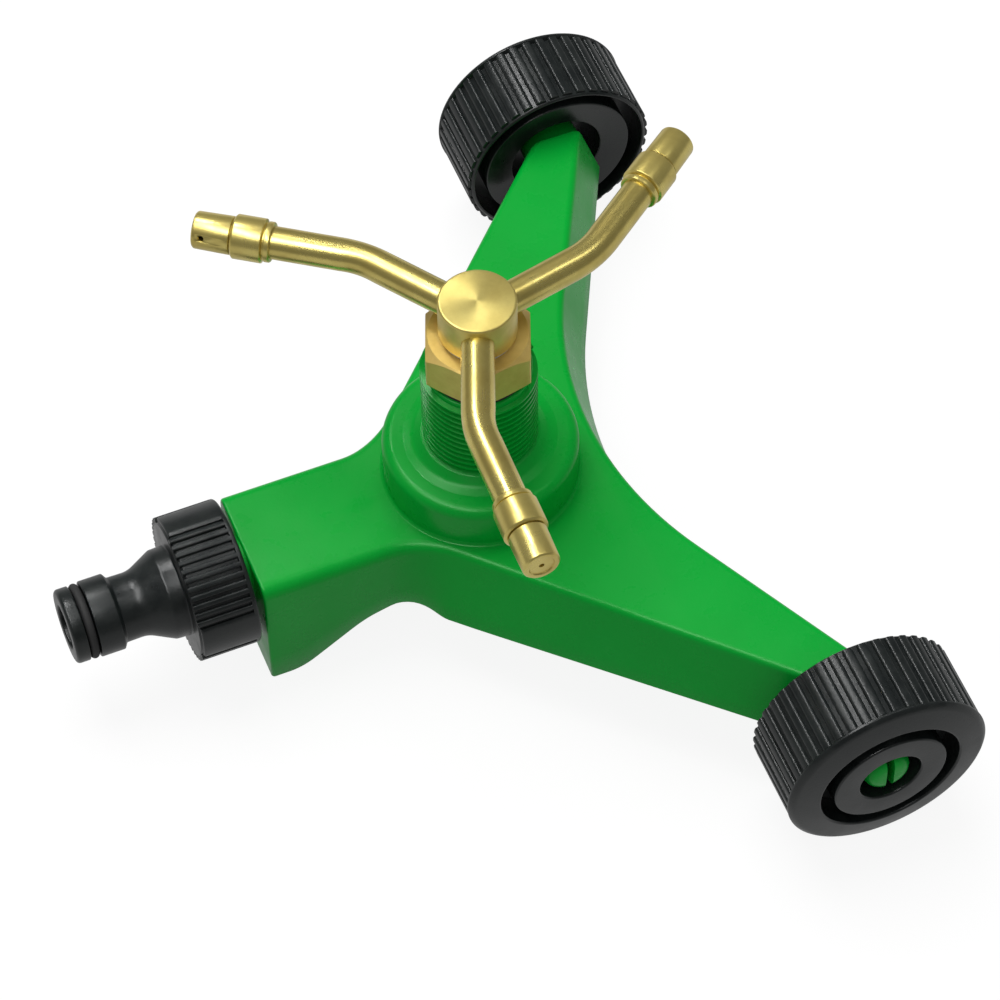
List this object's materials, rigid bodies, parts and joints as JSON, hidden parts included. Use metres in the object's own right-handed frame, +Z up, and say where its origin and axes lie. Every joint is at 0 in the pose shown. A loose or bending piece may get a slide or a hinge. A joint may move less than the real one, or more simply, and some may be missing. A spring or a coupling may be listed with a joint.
{
  "type": "rotating lawn sprinkler",
  "caption": "Garden sprinkler with a brass rotor of bent arms and nozzles on a threaded riser, a low green base on ridged wheels, and a quick-connect hose inlet.",
  "frame": {"origin": "on the ground under the middle of the object's box", "axes": "+Z up, -X towards the hose inlet, Y along the wheels' axis with the front wheel at -Y"},
  "size_m": [0.1784, 0.2108, 0.0949],
  "materials": {
    "green_plastic": "moulded, glossy",
    "black_plastic": "moulded, satin",
    "brass": "turned and drawn, lightly polished",
    "rubber": "matte",
    "white_nylon": "satin",
    "spring_steel": "satin"
  },
  "bodies": {
    "base": {"base_shell": "green_plastic", "hex_bushing": "brass", "bushing_washer": "rubber", "hose_adapter": "black_plastic", "adapter_o_ring": "rubber", "inlet_washer": "rubber", "inlet_filter": "white_nylon"},
    "rotor": {"rotor_hub": "brass", "upper_thrust_washer": "white_nylon", "lower_thrust_washer": "white_nylon", "retaining_clip": "spring_steel", "arm_tube_1": "brass", "arm_tube_2": "brass", "arm_tube_3": "brass", "nozzle_collar_1": "brass", "nozzle_collar_2": "brass", "nozzle_collar_3": "brass"},
    "front_wheel": {"front_wheel": "black_plastic"},
    "rear_wheel": {"rear_wheel": "black_plastic"},
    "nozzle_1": {"nozzle_tip_1": "brass"},
    "nozzle_2": {"nozzle_tip_2": "brass"},
    "nozzle_3": {"nozzle_tip_3": "brass"}
  },
  "joints": [
    {"name": "rotor_spin", "type": "hinge", "parent": "base", "child": "rotor", "pos_m": [0.0114, 0, 0.0894], "axis": [0, 0, 1], "continuous": true},
    {"name": "front_wheel_spin", "type": "hinge", "parent": "base", "child": "front_wheel", "pos_m": [0.0654, -0.0944, 0.0238], "axis": [0, 1, 0], "continuous": true},
    {"name": "rear_wheel_spin", "type": "hinge", "parent": "base", "child": "rear_wheel", "pos_m": [0.0654, 0.0944, 0.0238], "axis": [0, 1, 0], "continuous": true},
    {"name": "nozzle_1_twist", "type": "hinge", "parent": "rotor", "child": "nozzle_1", "pos_m": [-0.00047, -0.06135, 0.0894], "axis": [-0.0262, -0.9997, 0], "continuous": true},
    {"name": "nozzle_2_twist", "type": "hinge", "parent": "rotor", "child": "nozzle_2", "pos_m": [0.06763, 0.02613, 0.0894], "axis": [0.8039, 0.5948, 0], "continuous": true},
    {"name": "nozzle_3_twist", "type": "hinge", "parent": "rotor", "child": "nozzle_3", "pos_m": [-0.03336, 0.0436, 0.0894], "axis": [-0.8211, 0.5707, 0], "continuous": true}
  ]
}
